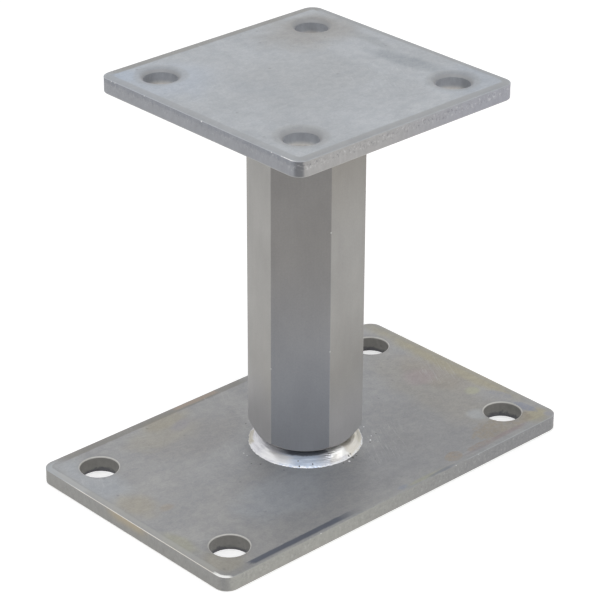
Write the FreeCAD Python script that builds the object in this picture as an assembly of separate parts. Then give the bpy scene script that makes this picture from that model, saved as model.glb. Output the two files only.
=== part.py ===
import FreeCAD, Part
import math
import os

# Height-adjustable post base, in millimetres, screwed right down.
# The origin is the middle of the base plate's underside. +X runs along the base plate's long side
# and +Z points up through the sleeve to the head plate.

# Base plate, with one anchor hole near each corner
base_length = 165.0
base_width = 100.0
base_thickness = 6.0
base_corner_radius = 5.0
base_hole_diameter = 14.0
base_hole_edge_distance = 15.0
base_hole_lip_width = 0.4
base_hole_lip_depth = 0.4
base_hole_lip_steps = 1

# Head plate, a square with one post screw hole near each corner
head_side = 100.0
head_thickness = 6.0
head_corner_radius = 4.5
head_hole_diameter = 12.0
head_hole_edge_distance = 15.0
head_hole_lip_width = 2.2
head_hole_lip_depth = 1.3
head_hole_lip_steps = 3

# Sheared plate edges: the upper edge is rolled over by the blade, the lower edge is broken
roll_width = 3.2
roll_depth = 0.5
roll_steps = 3
lower_edge_break = 0.3

# Hexagon turning sleeve, with both ends turned to a spanner chamfer
sleeve_across_flats = 36.0
sleeve_length = 125.0
sleeve_turn_angle = 11.5
sleeve_corner_rounding = 0.5
sleeve_end_margin = 0.3
sleeve_end_chamfer_angle = 40.0
bore_mouth_chamfer = 1.0

# Threaded studs, drawn at the crest diameter of the thread
stud_diameter = 24.0
stud_end_chamfer = 2.0
stud_bore_clearance = 0.1
stud_meeting_gap = 4.0

# Weld beads, each with a lap of a few ripples where the weld starts and stops
bead_leg_on_plate = 8.7
bead_crown = 0.5
bead_steps = 3
bead_lap_rise = 0.9
bead_lap_ripples = 3
bead_lap_spread = 30.0
lower_bead_lap_angle = -95.0
upper_bead_lap_angle = 60.0

# Space between each plate and the sleeve's end face, and what is left of it above the weld
plate_to_sleeve_gap = 5.0
bead_to_sleeve_clearance = 0.5

# How far a cutting shape runs past the faces that it cuts
cut_overrun = 1.0

origin = FreeCAD.Vector(0, 0, 0)
x_axis = FreeCAD.Vector(1, 0, 0)
z_axis = FreeCAD.Vector(0, 0, 1)

# Places and sizes that follow from the values above
stud_radius = stud_diameter / 2
bore_radius = stud_radius + stud_bore_clearance
bead_height = plate_to_sleeve_gap - bead_to_sleeve_clearance
stud_length = plate_to_sleeve_gap + (sleeve_length - stud_meeting_gap) / 2
sleeve_bottom = base_thickness + plate_to_sleeve_gap
head_underside = sleeve_bottom + sleeve_length + plate_to_sleeve_gap


def turned(half_section, angle=360):
    """Solid made by turning the closed outline through (radius, height) pairs about the Z axis."""
    corners = [FreeCAD.Vector(radius, 0, height) for radius, height in half_section]
    outline = Part.makePolygon(corners + corners[:1])
    return Part.Face(outline).revolve(origin, z_axis, angle)


def rolled_edge(width, depth, steps):
    """Pairs of inset and rise that follow a quarter ellipse from a side face up to a top face."""
    angles = [math.radians(90 * step / steps) for step in range(steps + 1)]
    return [(width * (1 - math.cos(angle)), depth * math.sin(angle)) for angle in angles]


def rounded_rectangle(length, width, radius, height):
    """Closed outline centred on the Z axis, with an arc at each corner."""
    reach_x = length / 2 - radius
    reach_y = width / 2 - radius
    arcs = []
    for quarter, (side_x, side_y) in enumerate([(1, 1), (-1, 1), (-1, -1), (1, -1)]):
        centre = FreeCAD.Vector(side_x * reach_x, side_y * reach_y, height)
        start = 90 * quarter
        arcs.append(Part.makeCircle(radius, centre, z_axis, start, start + 90))
    edges = []
    for arc, following in zip(arcs, arcs[1:] + arcs[:1]):
        side = Part.makeLine(arc.valueAt(arc.LastParameter), following.valueAt(following.FirstParameter))
        edges += [arc, side]
    return Part.Wire(edges)


def sheared_plate(length, width, thickness, corner_radius):
    """Plate standing on Z = 0, with its upper edge rolled over and its lower edge broken."""
    shoulder = thickness - roll_depth
    outline = rounded_rectangle(length, width, corner_radius, 0)
    slab = Part.Face(outline).extrude(z_axis * shoulder)
    lower_edges = [edge for edge in slab.Edges if edge.BoundBox.ZMax < lower_edge_break]
    slab = slab.makeChamfer(lower_edge_break, lower_edges)
    sections = []
    for inset, rise in rolled_edge(roll_width, roll_depth, roll_steps):
        section = rounded_rectangle(length - 2 * inset, width - 2 * inset, corner_radius, shoulder + rise)
        sections.append(section)
    crown = Part.makeLoft(sections, True, True)
    return slab.fuse(crown).removeSplitter()


def punched_hole(diameter, thickness, lip_width, lip_depth, lip_steps):
    """Cutting shape of a through hole whose upper rim is drawn in by the punch."""
    radius = diameter / 2
    wall_top = thickness - lip_depth
    lip = [
        (radius + inset, wall_top + rise)
        for inset, rise in rolled_edge(lip_width, lip_depth, lip_steps)
    ]
    mouth_radius = radius + lip_width
    below = [(0, -cut_overrun), (radius, -cut_overrun)]
    above = [(mouth_radius, thickness + cut_overrun), (0, thickness + cut_overrun)]
    return turned(below + lip + above)


def cut_corner_holes(plate, hole, reach_x, reach_y):
    """Cuts the same hole near each of the four corners."""
    for side_x in (-1, 1):
        for side_y in (-1, 1):
            cutter = hole.copy()
            cutter.translate(FreeCAD.Vector(side_x * reach_x, side_y * reach_y, 0))
            plate = plate.cut(cutter)
    return plate


def make_base_plate():
    plate = sheared_plate(base_length, base_width, base_thickness, base_corner_radius)
    hole = punched_hole(
        base_hole_diameter,
        base_thickness,
        base_hole_lip_width,
        base_hole_lip_depth,
        base_hole_lip_steps,
    )
    reach_x = base_length / 2 - base_hole_edge_distance
    reach_y = base_width / 2 - base_hole_edge_distance
    return cut_corner_holes(plate, hole, reach_x, reach_y)


def make_head_plate():
    plate = sheared_plate(head_side, head_side, head_thickness, head_corner_radius)
    hole = punched_hole(
        head_hole_diameter,
        head_thickness,
        head_hole_lip_width,
        head_hole_lip_depth,
        head_hole_lip_steps,
    )
    reach = head_side / 2 - head_hole_edge_distance
    plate = cut_corner_holes(plate, hole, reach, reach)
    plate.translate(z_axis * head_underside)
    return plate


def hexagon_bar(corner_radius):
    """Drawn hexagon bar as long as the sleeve, with its six long corners rounded."""
    corners = []
    for corner in range(7):
        angle = math.radians(60 * corner)
        corners.append(FreeCAD.Vector(corner_radius * math.cos(angle), corner_radius * math.sin(angle), 0))
    bar = Part.Face(Part.makePolygon(corners)).extrude(z_axis * sleeve_length)
    long_corners = [edge for edge in bar.Edges if edge.BoundBox.ZLength > sleeve_length / 2]
    return bar.makeFillet(sleeve_corner_rounding, long_corners)


def end_chamfer_envelope(corner_radius):
    """Turned shape that leaves a round end face and a curved chamfer line on each flat."""
    end_radius = sleeve_across_flats / 2 - sleeve_end_margin
    outer = corner_radius + cut_overrun
    rise = (outer - end_radius) * math.tan(math.radians(sleeve_end_chamfer_angle))
    return turned([
        (0, 0),
        (end_radius, 0),
        (outer, rise),
        (outer, sleeve_length - rise),
        (end_radius, sleeve_length),
        (0, sleeve_length),
    ])


def sleeve_bore():
    """Cutting shape of the through bore and its two bevelled mouths."""
    mouth = bore_radius + bore_mouth_chamfer + cut_overrun
    return turned([
        (0, -cut_overrun),
        (mouth, -cut_overrun),
        (bore_radius, bore_mouth_chamfer),
        (bore_radius, sleeve_length - bore_mouth_chamfer),
        (mouth, sleeve_length + cut_overrun),
        (0, sleeve_length + cut_overrun),
    ])


def make_hex_sleeve():
    corner_radius = sleeve_across_flats / 2 / math.cos(math.radians(30))
    blank = hexagon_bar(corner_radius).common(end_chamfer_envelope(corner_radius))
    sleeve = blank.cut(sleeve_bore())
    sleeve.rotate(origin, z_axis, sleeve_turn_angle)
    sleeve.translate(z_axis * sleeve_bottom)
    return sleeve


def stud_on_plate():
    """Stud standing on Z = 0, with its free end bevelled."""
    return turned([
        (0, 0),
        (stud_radius, 0),
        (stud_radius, stud_length - stud_end_chamfer),
        (stud_radius - stud_end_chamfer, stud_length),
        (0, stud_length),
    ])


def bead_section(crown):
    """Half section of a convex weld from its toe on the plate up the side of the stud."""
    toe = FreeCAD.Vector(stud_radius + bead_leg_on_plate, 0, 0)
    top = FreeCAD.Vector(stud_radius, 0, bead_height)
    slope = top - toe
    outward = FreeCAD.Vector(slope.z, 0, -slope.x).normalize()
    section = [(stud_radius, 0)]
    for step in range(bead_steps + 1):
        share = step / bead_steps
        bulge = 4 * crown * share * (1 - share)
        point = toe + slope * share + outward * bulge
        section.append((point.x, point.z))
    return section


def bead_on_plate(lap_angle):
    """Ring of weld round a stud on Z = 0, with its rippled lap at the given angle from +X."""
    bead = turned(bead_section(bead_crown))
    for ripple in range(bead_lap_ripples):
        crown = bead_crown + bead_lap_rise * (ripple + 1) / bead_lap_ripples
        spread = bead_lap_spread * (1 - ripple / bead_lap_ripples)
        layer = turned(bead_section(crown), spread)
        layer.rotate(origin, z_axis, lap_angle - spread / 2)
        bead = bead.fuse(layer)
    return bead.removeSplitter()


def on_base_plate(shape):
    """Stands a shape made on Z = 0 on the base plate."""
    shape.translate(z_axis * base_thickness)
    return shape


def under_head_plate(shape):
    """Hangs a shape made on Z = 0 from the head plate."""
    shape.rotate(origin, x_axis, 180)
    shape.translate(z_axis * head_underside)
    return shape


pieces = {
    "base_plate": make_base_plate(),
    "lower_stud": on_base_plate(stud_on_plate()),
    "lower_weld_bead": on_base_plate(bead_on_plate(lower_bead_lap_angle)),
    "hex_sleeve": make_hex_sleeve(),
    "upper_stud": under_head_plate(stud_on_plate()),
    "upper_weld_bead": under_head_plate(bead_on_plate(upper_bead_lap_angle)),
    "head_plate": make_head_plate(),
}

os.makedirs("parts", exist_ok=True)
for name, shape in pieces.items():
    shape.exportStep("parts/" + name + ".step")
    print(name, "solids", len(shape.Solids), "volume", round(shape.Volume, 1))
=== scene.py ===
import random
from math import cos, exp, hypot, pi, radians, sin

import bpy
from mathutils import Matrix, Vector, noise
from mathutils.geometry import delaunay_2d_cdt


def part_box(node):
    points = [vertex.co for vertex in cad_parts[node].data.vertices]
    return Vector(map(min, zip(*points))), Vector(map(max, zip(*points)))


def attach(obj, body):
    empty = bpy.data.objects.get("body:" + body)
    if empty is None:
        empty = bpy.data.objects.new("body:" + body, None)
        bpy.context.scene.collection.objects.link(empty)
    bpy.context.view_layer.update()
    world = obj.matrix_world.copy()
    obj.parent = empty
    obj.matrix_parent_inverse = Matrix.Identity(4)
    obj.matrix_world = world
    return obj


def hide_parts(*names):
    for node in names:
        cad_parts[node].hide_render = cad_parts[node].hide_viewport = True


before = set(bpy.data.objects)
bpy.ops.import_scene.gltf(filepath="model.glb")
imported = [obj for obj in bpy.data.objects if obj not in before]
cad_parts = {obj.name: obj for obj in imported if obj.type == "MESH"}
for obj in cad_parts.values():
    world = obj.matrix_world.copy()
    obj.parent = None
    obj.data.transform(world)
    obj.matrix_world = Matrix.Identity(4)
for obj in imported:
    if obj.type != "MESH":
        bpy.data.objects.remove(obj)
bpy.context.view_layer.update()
print("frame loaded:", ", ".join(sorted(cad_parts)))

mm = 0.001
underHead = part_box("head_plate")[0].z / mm  # all lengths below are in millimetres
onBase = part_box("base_plate")[1].z / mm


# camera, where the photograph was taken from
cameraSpot = {
    "azimuth": -43.005,
    "elevation": 27.208,
    "roll": 0.211,
    "aimHeight": 75.0,
    "distance": 879.118,
    "sideStep": -2.011,
    "upStep": -11.041,
    "lens": 150.29,
    "sensor": 36,
    "clip": (0.05, 30),
}


def addObject(name, data):
    thing = bpy.data.objects.new(name, data)
    bpy.context.scene.collection.objects.link(thing)
    return thing


def levelViews(spot):  # from the axis towards the camera, and to the camera's right, both level
    a = radians(spot["azimuth"])
    return Vector((sin(a), -cos(a), 0)), Vector((cos(a), sin(a), 0))


def placeCamera(spot):
    front, level = levelViews(spot)
    e, r = radians(spot["elevation"]), radians(spot["roll"])
    back = front * cos(e) + Vector((0, 0, sin(e)))
    upright = back.cross(level)
    across = level * cos(r) + upright * sin(r)
    above = upright * cos(r) - level * sin(r)
    data = bpy.data.cameras.new("photoCamera")
    data.lens = spot["lens"]
    data.sensor_width = spot["sensor"]
    data.clip_start, data.clip_end = spot["clip"]
    camera = addObject("photoCamera", data)
    place = Vector((0, 0, spot["aimHeight"])) + back * spot["distance"]
    place += across * spot["sideStep"] + above * spot["upStep"]
    turn = Matrix((across, above, back)).transposed().to_4x4()
    camera.matrix_world = Matrix.Translation(place * mm) @ turn
    bpy.context.scene.camera = camera


placeCamera(cameraSpot)
print("camera placed")


# short names for the shader nodes used by every finish
def plug(socket, value):
    if isinstance(value, bpy.types.NodeSocket):
        socket.id_data.links.new(value, socket)
    elif socket.type == "RGBA" and len(value) == 3:
        socket.default_value = (*value, 1)
    else:
        socket.default_value = value


def emptyTree(owner, kind):
    owner.use_nodes = True
    tree = owner.node_tree
    tree.nodes.clear()
    return tree, tree.nodes.new("ShaderNodeOutput" + kind).inputs["Surface"]


def newFinish(name):
    finish = bpy.data.materials.new(name)
    tree, surface = emptyTree(finish, "Material")
    shader = tree.nodes.new("ShaderNodeBsdfPrincipled")
    plug(surface, shader.outputs["BSDF"])
    return finish, tree, shader


def newNode(kind, *values):  # in the tree that the values come from
    tree = next(v.id_data for v in values if isinstance(v, bpy.types.NodeSocket))
    return tree.nodes.new("ShaderNode" + kind)


def fill(node, inputs, output=0):
    for key, value in inputs.items():
        plug(node.inputs[key], value)
    return node.outputs[output]


def coat(shader, colour, metal, gloss, height, depth):
    bump = newNode("Bump", colour)
    normal = fill(bump, {"Height": height, "Distance": depth * mm})
    fill(shader, {"Base Color": colour, "Metallic": metal, "Roughness": gloss, "Normal": normal})


def maths(operation, first, second=0.0, clamp=False):
    node = newNode("Math", first, second)
    node.operation, node.use_clamp = operation, clamp
    return fill(node, {0: first, 1: second})


def times(first, *others):
    for other in others:
        first = maths("MULTIPLY", first, other)
    return first


def plus(first, second):
    return maths("ADD", first, second)


def minus(first, second):
    return maths("SUBTRACT", first, second)


def largest(first, second):
    return maths("MAXIMUM", first, second)


def hypotenuse(first, second):
    return maths("SQRT", plus(maths("POWER", first, 2), maths("POWER", second, 2)))


def vectors(operation, first, second=(0, 0, 0), output=0):
    node = newNode("VectorMath", first, second)
    node.operation = operation
    return fill(node, {0: first, 1: second}, output)


def distance(point, spot):
    return vectors("LENGTH", vectors("SUBTRACT", point, spot), output=1)


def turned(vector, degrees):  # about the Z axis
    node = newNode("VectorRotate", vector)
    node.rotation_type = "Z_AXIS"
    return fill(node, {"Vector": vector, "Angle": radians(degrees)})


def ease(value, low, high, toLow=0.0, toHigh=1.0):
    node = newNode("MapRange", value)
    node.interpolation_type = "SMOOTHSTEP"
    limits = {"From Min": low, "From Max": high, "To Min": toLow, "To Max": toHigh}
    return fill(node, {"Value": value, **limits})


def between(value, rise, fall):  # bright after the rise and before the fall
    return times(ease(value, *rise), ease(value, *fall, 1, 0))


def blend(amount, under, over, mode="MIX"):
    node = newNode("Mix", amount, under, over)
    node.data_type, node.blend_type = "RGBA", mode
    return fill(node, {0: amount, 6: under, 7: over}, 2)


def blendValue(amount, under, over):
    return fill(newNode("Mix", amount, under, over), {0: amount, 2: under, 3: over})


def stain(colour, tint, *masks):  # lays a tint where all the masks are bright
    return blend(times(*masks), colour, tint)


# lays wear, and painted shade on rolled edges and chamfers, alike
def wearAndShade(colour, film, mask):  # a film is its tone and its strength
    tone, amount = film
    return stain(colour, tone, mask, amount)


def grain(colour, amount, pattern, swing):  # darkens and lightens a colour by a pattern
    shades = blend(pattern, (0.5 - swing,) * 3, (0.5 + swing,) * 3)
    return blend(amount, colour, shades, "OVERLAY")


def pieceSpace(tree):  # a point of the piece, in millimetres
    node = tree.nodes.new("ShaderNodeTexCoord")
    return vectors("MULTIPLY", node.outputs["Object"], (1000, 1000, 1000))


def facing(tree):  # which way the surface faces, in the piece's own space
    return tree.nodes.new("ShaderNodeTexCoord").outputs["Normal"]


def apart(vector):
    node = newNode("SeparateXYZ", vector)
    plug(node.inputs[0], vector)
    return tuple(node.outputs)


def clouds(point, size, detail=2.0, rough=0.5, squeeze=(1, 1, 1), shift=0.0, warp=0.0):
    moved = vectors("ADD", point, (shift, shift * 0.7, shift * 1.3))
    scaled = vectors("MULTIPLY", moved, tuple(s / size for s in squeeze))
    shape = {"Scale": 1, "Detail": detail, "Roughness": rough, "Distortion": warp}
    return fill(newNode("TexNoise", point), {"Vector": scaled, **shape})


def unevenness(*pattern, **options):  # clouds that lie evenly about zero
    return minus(clouds(*pattern, **options), 0.5)


def specks(point, size, share):  # small round dots, for pits
    node = newNode("TexVoronoi", point)
    scaled = vectors("MULTIPLY", point, (1 / size,) * 3)
    away = fill(node, {"Vector": scaled, "Scale": 1}, "Distance")
    chance = apart(node.outputs["Color"])[0]
    return times(ease(away, 0.08, 0.22, 1, 0), maths("GREATER_THAN", chance, 1 - share))


def scratches(point, angle, spacing, length, share, shift):
    level = turned(point, angle)
    lines = unevenness(level, spacing, 1, 0.4, (spacing / length, 1, 1), shift, 0.4)
    thin = ease(maths("ABSOLUTE", lines), 0.0, 0.02, 1, 0)
    where = clouds(point, length, 1, 0.5, shift=shift + 31)
    return times(thin, ease(where, 0.66 - share, 0.72 - share))


# A soft oval of tint on a plate: its middle, half its size, its tint and its strength. A crisp one
# has a drawn border, and turn is in degrees.
def oval(at, half, tint, amount, ragged=0.9, turn=0, crisp=False):
    return {
        "at": at, "half": half, "tint": tint, "amount": amount,
        "ragged": ragged, "turn": turn, "crisp": crisp,
    }


def ovalMask(point, spot, wander):  # its border is pulled about by the clouds
    offset = vectors("SUBTRACT", point, (*spot["at"], 0))
    halfX, halfY = spot["half"]
    flat = vectors("MULTIPLY", turned(offset, -spot["turn"]), (1 / halfX, 1 / halfY, 0))
    away = vectors("LENGTH", flat, output=1)
    pulled = plus(away, times(wander, spot["ragged"]))
    border, soft = 0.85, 0.12 if spot["crisp"] else 0.4
    return ease(pulled, border - soft, border + soft, spot["amount"], 0)


def beyond(value, reach):
    return minus(maths("ABSOLUTE", value), reach)


def insetFrom(point, halfX, halfY, corner):  # how far inside a rounded outline, in mm
    x, y = apart(point)[:2]
    overX, overY = beyond(x, halfX - corner), beyond(y, halfY - corner)
    outside = hypotenuse(largest(overX, 0), largest(overY, 0))
    inside = maths("MINIMUM", largest(overX, overY), 0)
    return minus(corner, plus(outside, inside))


def fromHole(point, reachX, reachY):  # distance from the middle of the nearest corner hole
    x, y = apart(point)[:2]
    return hypotenuse(beyond(x, reachX), beyond(y, reachY))


# mesh helpers
def makePiece(name, verts, faces, body, stands, finish, sharp=35):
    mesh = bpy.data.meshes.new(name)
    mesh.from_pydata([v * mm for v in verts], [], faces)
    mesh.validate()
    mesh.polygons.foreach_set("use_smooth", [True] * len(mesh.polygons))
    mesh.set_sharp_from_angle(angle=radians(sharp))
    mesh.materials.append(finish)
    piece = addObject(name, mesh)
    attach(piece, body)
    if stands:
        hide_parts(stands)
    triangles = sum(len(p.vertices) - 2 for p in mesh.polygons)
    print(f"{name}: {triangles} triangles")


def waver(x, y, z):
    return noise.noise(Vector((x, y, z)))


def addRing(verts, points):
    start = len(verts)
    verts.extend(points)
    return start


def joinRings(faces, lower, upper, count):
    for i in range(count):
        j = (i + 1) % count
        faces.append((lower + i, lower + j, upper + j, upper + i))


def nextRing(verts, faces, previous, points, down=False):  # joined to the ring before it
    current = addRing(verts, points)
    lower, upper = (current, previous) if down else (previous, current)
    joinRings(faces, lower, upper, len(points))
    return current


def waysRound(count):
    angles = [2 * pi * k / count for k in range(count)]
    return [Vector((cos(a), sin(a), 0)) for a in angles]


def setOnPlate(verts, start, upward):  # a piece that hangs is turned over about X
    for k, v in enumerate(verts):
        verts[k] = Vector((v.x, v.y, start + v.z)) if upward else Vector((v.x, -v.y, start - v.z))


# rolled, sheared and punched steel plates
bothPlates = {
    "thickness": 6.0,
    "roll": (3.2, 0.5),
    "wave": 0.05,
}

basePlate = {
    **bothPlates,
    "name": "basePlateSheared",
    "node": "base_plate",
    "body": "base",
    "half": (82.5, 50.0),
    "corner": 5.0,
    "lowerRound": 0.35,
    "holeReach": (67.5, 35.0),
    "holeRadius": 7.0,
    "lip": (0.4, 0.4),
    "lipRows": 4,
    "breakout": 0.12,
    "tear": {"depth": 0.15, "chip": 0.28, "low": 0.22, "high": 0.88},
}

headPlate = {
    **bothPlates,
    "name": "headPlateSheared",
    "node": "head_plate",
    "body": "head",
    "half": (50.0, 50.0),
    "corner": 4.5,
    "lowerRound": 0.4,
    "holeReach": (35.0, 35.0),
    "holeRadius": 6.0,
    "lip": (2.2, 1.3),
    "lipRows": 9,
    "breakout": 0.25,
    "tear": {"depth": 0.16, "chip": 0.34, "low": 0.36, "high": 0.88},
}

# how finely both plates are drawn: lengths in mm, the rest are counts
plateMesh = {
    "outlineStep": 0.6,
    "arcSteps": 14,
    "lowerRows": 3,
    "wallRows": 22,
    "rollRows": 10,
    "holePoints": 72,
    "holeRows": 10,
    "topGrid": 1.6,
    "underGrid": 5.0,
}


def outlineSteps(plate):
    # corner centre signs and the direction of each point of the outline, anticlockwise
    marks = []
    arcSteps = plateMesh["arcSteps"]
    straight = [plate["half"][1] - plate["corner"], plate["half"][0] - plate["corner"]] * 2
    for quarter, (sx, sy) in enumerate([(1, 1), (-1, 1), (-1, -1), (1, -1)]):
        for k in range(arcSteps):
            marks.append((sx, sy, radians(90 * quarter + 90 * k / arcSteps), 0.0))
        run = straight[(quarter + 1) % 4]
        count = max(1, round(2 * run / plateMesh["outlineStep"]))
        for k in range(count):
            marks.append((sx, sy, radians(90 * quarter + 90), k / count))
    return marks


def outlineRing(plate, marks, inset, height):
    points = []
    reachX = plate["half"][0] - plate["corner"] - inset
    reachY = plate["half"][1] - plate["corner"] - inset
    for sx, sy, angle, share in marks:
        x = sx * reachX + plate["corner"] * cos(angle)
        y = sy * reachY + plate["corner"] * sin(angle)
        x -= 2 * share * reachX * sin(angle)
        y += 2 * share * reachY * cos(angle)
        points.append(Vector((x, y, height)))
    return points


def gapInside(plate, inset, hole):
    # how far a point lies inside the outline and outside the holes
    reachX, reachY = (half - inset - plate["corner"] for half in plate["half"])

    def gap(x, y):
        overX, overY = abs(x) - reachX, abs(y) - reachY
        outside = hypot(max(overX, 0), max(overY, 0)) + min(max(overX, overY), 0)
        away = hypot(abs(x) - plate["holeReach"][0], abs(y) - plate["holeReach"][1])
        return min(plate["corner"] - outside, away - hole)

    return gap


def fillFlat(verts, faces, rings, height, gap, spacing):
    # triangles between the outer ring and the hole rings, with loose points on a grid between them
    flat, ids, edges = [], [], []
    for start, count in rings:
        first = len(flat)
        for k in range(count):
            flat.append(Vector(verts[start + k][:2]))
            ids.append(start + k)
            edges.append((first + k, first + (k + 1) % count))
    limitX = max(p.x for p in flat)
    limitY = max(p.y for p in flat)
    rows = int(2 * limitY / spacing)
    columns = int(2 * limitX / spacing)
    for row in range(rows + 1):
        for column in range(columns + 1):
            x = -limitX + 2 * limitX * (column + 0.5 * (row % 2)) / columns
            y = -limitY + 2 * limitY * row / rows
            if gap(x, y) > spacing * 0.6:
                ids.append(len(verts))
                verts.append(Vector((x, y, height)))
                flat.append(Vector((x, y)))
    slack, leastArea = 1e-6, 1e-5
    filled = delaunay_2d_cdt(flat, edges, [], 0, slack)
    points, triangles, origins = filled[0], filled[2], filled[3]
    for triangle in triangles:
        a, b, c = (points[i] for i in triangle)
        middle = (a + b + c) / 3
        if abs((b - a).cross(c - a)) > leastArea and gap(middle.x, middle.y) > 0:
            faces.append(tuple(ids[origins[i][0]] for i in triangle))


def tornInto(plate, point, way):  # how deep the broken part of a sheared side lies
    tear = plate["tear"]
    share = point.z / plate["thickness"]
    zone = max(0.0, min(1.0, (share - tear["low"]) * 7))
    zone *= max(0.0, min(1.0, (tear["high"] - share) * 9))
    side = 0.35 + 0.65 * max(0.0, -way.y, way.x * 0.8)  # two sides tore more than the others
    ragged = noise.fractal(Vector((point.x * 0.55, point.y * 0.55, point.z * 1.1)), 0.8, 2.1, 4)
    streak = waver(point.x * 1.3, point.y * 1.3, point.z * 0.2)
    slant = (point.x + point.y) * 1.25 + point.z * 0.9
    chip = waver(slant, point.z * 1.5, (point.x - point.y) * 0.4)
    into = tear["depth"] * max(0.0, 0.4 + 0.5 * ragged + 0.25 * streak)
    into += tear["chip"] * max(0.0, chip - 0.12)
    return zone * side * into + 0.03 * max(0.0, streak)


def raiseSides(plate, verts, faces, marks):
    thickness, lowerRound = plate["thickness"], plate["lowerRound"]
    rollWidth, rollDepth = plate["roll"]

    # rounded lower edge
    lowest = previous = addRing(verts, outlineRing(plate, marks, lowerRound, 0))
    lowerRows = plateMesh["lowerRows"]
    for row in range(1, lowerRows + 1):
        angle = radians(90 * row / lowerRows)
        inset, height = lowerRound * (1 - sin(angle)), lowerRound * (1 - cos(angle))
        previous = nextRing(verts, faces, previous, outlineRing(plate, marks, inset, height))

    # side walls, with the torn zone of the shear cut pressed in
    shoulder = thickness - rollDepth
    wallRows = plateMesh["wallRows"]
    for row in range(1, wallRows + 1):
        ring = outlineRing(plate, marks, 0, lowerRound + (shoulder - lowerRound) * row / wallRows)
        for i, point in enumerate(ring):
            way = Vector((cos(marks[i][2]), sin(marks[i][2]), 0))
            ring[i] = point - way * tornInto(plate, point, way)
        previous = nextRing(verts, faces, previous, ring)

    # upper edge rolled over by the blade, a little unevenly
    rollRows = plateMesh["rollRows"]
    for row in range(1, rollRows + 1):
        angle = radians(90 * row / rollRows)
        ring = outlineRing(plate, marks, rollWidth * (1 - cos(angle)), 0)
        for point in ring:
            droop = rollDepth * (1 - sin(angle))
            if 2 < row < rollRows:
                droop *= 1 + 0.3 * waver(point.x * 0.06, point.y * 0.06, 2.5)
            point.z = thickness - droop
        previous = nextRing(verts, faces, previous, ring)
    return lowest, previous


def punchHole(plate, verts, faces, sx, sy):
    # drawn in at the top and broken out wider below
    radius, thickness = plate["holeRadius"], plate["thickness"]
    lipWidth, lipDepth = plate["lip"]
    ways = waysRound(plateMesh["holePoints"])
    middle = Vector((sx * plate["holeReach"][0], sy * plate["holeReach"][1], 0))

    def circle(r, height, torn=0.0):
        ring = []
        for way in ways:
            rag = waver(way.x * 5 + sx * 9, way.y * 5 + sy * 9, height * 0.8)
            ring.append(middle + way * (r + torn * max(0.0, 0.5 + rag)) + Vector((0, 0, height)))
        return ring

    mouth = previous = addRing(verts, circle(radius + lipWidth, thickness))
    for row in range(1, plate["lipRows"] + 1):
        share = row / plate["lipRows"]
        ring = circle(radius + lipWidth * (1 - share), thickness - lipDepth * share ** 2)
        previous = nextRing(verts, faces, previous, ring, down=True)
    wall = thickness - lipDepth
    for row in range(1, plateMesh["holeRows"] + 1):
        height = wall * (1 - row / plateMesh["holeRows"])
        torn = plate["breakout"] * max(0.0, 1 - height / (wall * 0.55))
        previous = nextRing(verts, faces, previous, circle(radius, height, torn), down=True)
    return previous, mouth


def buildPlate(plate, bottom, finish):
    verts, faces = [], []
    marks = outlineSteps(plate)
    rings = [(raiseSides(plate, verts, faces, marks), len(marks))]
    for sx in (-1, 1):
        for sy in (-1, 1):
            rings.append((punchHole(plate, verts, faces, sx, sy), plateMesh["holePoints"]))
    lowRings = [(low, count) for (low, high), count in rings]
    topRings = [(high, count) for (low, high), count in rings]
    thickness, radius = plate["thickness"], plate["holeRadius"]
    rollWidth, rollDepth = plate["roll"]
    topGap = gapInside(plate, rollWidth, radius + plate["lip"][0])
    fillFlat(verts, faces, topRings, thickness, topGap, plateMesh["topGrid"])
    lower = len(faces)
    lowGap = gapInside(plate, plate["lowerRound"], radius)
    fillFlat(verts, faces, lowRings, 0, lowGap, plateMesh["underGrid"])
    faces[lower:] = [tuple(reversed(f)) for f in faces[lower:]]
    for k, point in enumerate(verts):  # rolled stock is never quite flat
        if point.z > thickness - rollDepth + 0.02:
            slow = waver(point.x * 0.035, point.y * 0.035, 3.7)
            quick = waver(point.x * 0.12, point.y * 0.12, 9.1)
            point.z -= plate["wave"] * (0.5 + 0.35 * slow + 0.15 * quick)
        verts[k] = point + Vector((0, 0, bottom))
    makePiece(plate["name"], verts, faces, plate["body"], plate["node"], finish)


# A strip of tint along an edge of the upper face, for painted shade and painted highlights on the
# rolled edge
# and for stains: the plate's side, where it starts and ends along that side, how far it fades past
# each end, how far in it lies, its tint and strength.
def strip(side, along, fade, inset, tint, amount, soft=0.35, near=None):
    return {
        "side": side, "along": along, "fade": fade, "inset": inset,
        "tint": tint, "amount": amount, "soft": soft, "near": near,
    }


# zinc finish of the two plates: the tones of the wear and of the painted light and shade that both
# have, then what each has of its own
zincWearAndShade = {
    "rough": 0.50,
    "bumpDepth": 0.035,
    "underRollTone": (0.22, 0.235, 0.27),
    "darkFleck": (0.16, 0.165, 0.18),
    "lightFleck": (0.68, 0.68, 0.68),
    # painted shade on the rounded corner that faces the camera
    "cornerShadeTone": (0.17, 0.175, 0.19),
    # painted light along the foot of the walls
    "lowEdgeLightTone": (0.66, 0.645, 0.60),
    "haloTone": (0.24, 0.235, 0.225),
    "drifting": ((0.36, 0.375, 0.40), (0.64, 0.63, 0.61), 0.24),  # dark, light and strength
    # painted shade: the band of the rolled edge is darkened
    "roll": ((0.27, 0.275, 0.275), 0.28),  # tone and strength, here and below
    "pitting": ((0.12, 0.12, 0.13), 0.3),
    "scratching": ((0.62, 0.63, 0.64), 0.22),
    "burning": ((0.09, 0.085, 0.08), 0.8),
    "knocking": ((0.95, 0.95, 0.94), 0.85),
}

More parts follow.
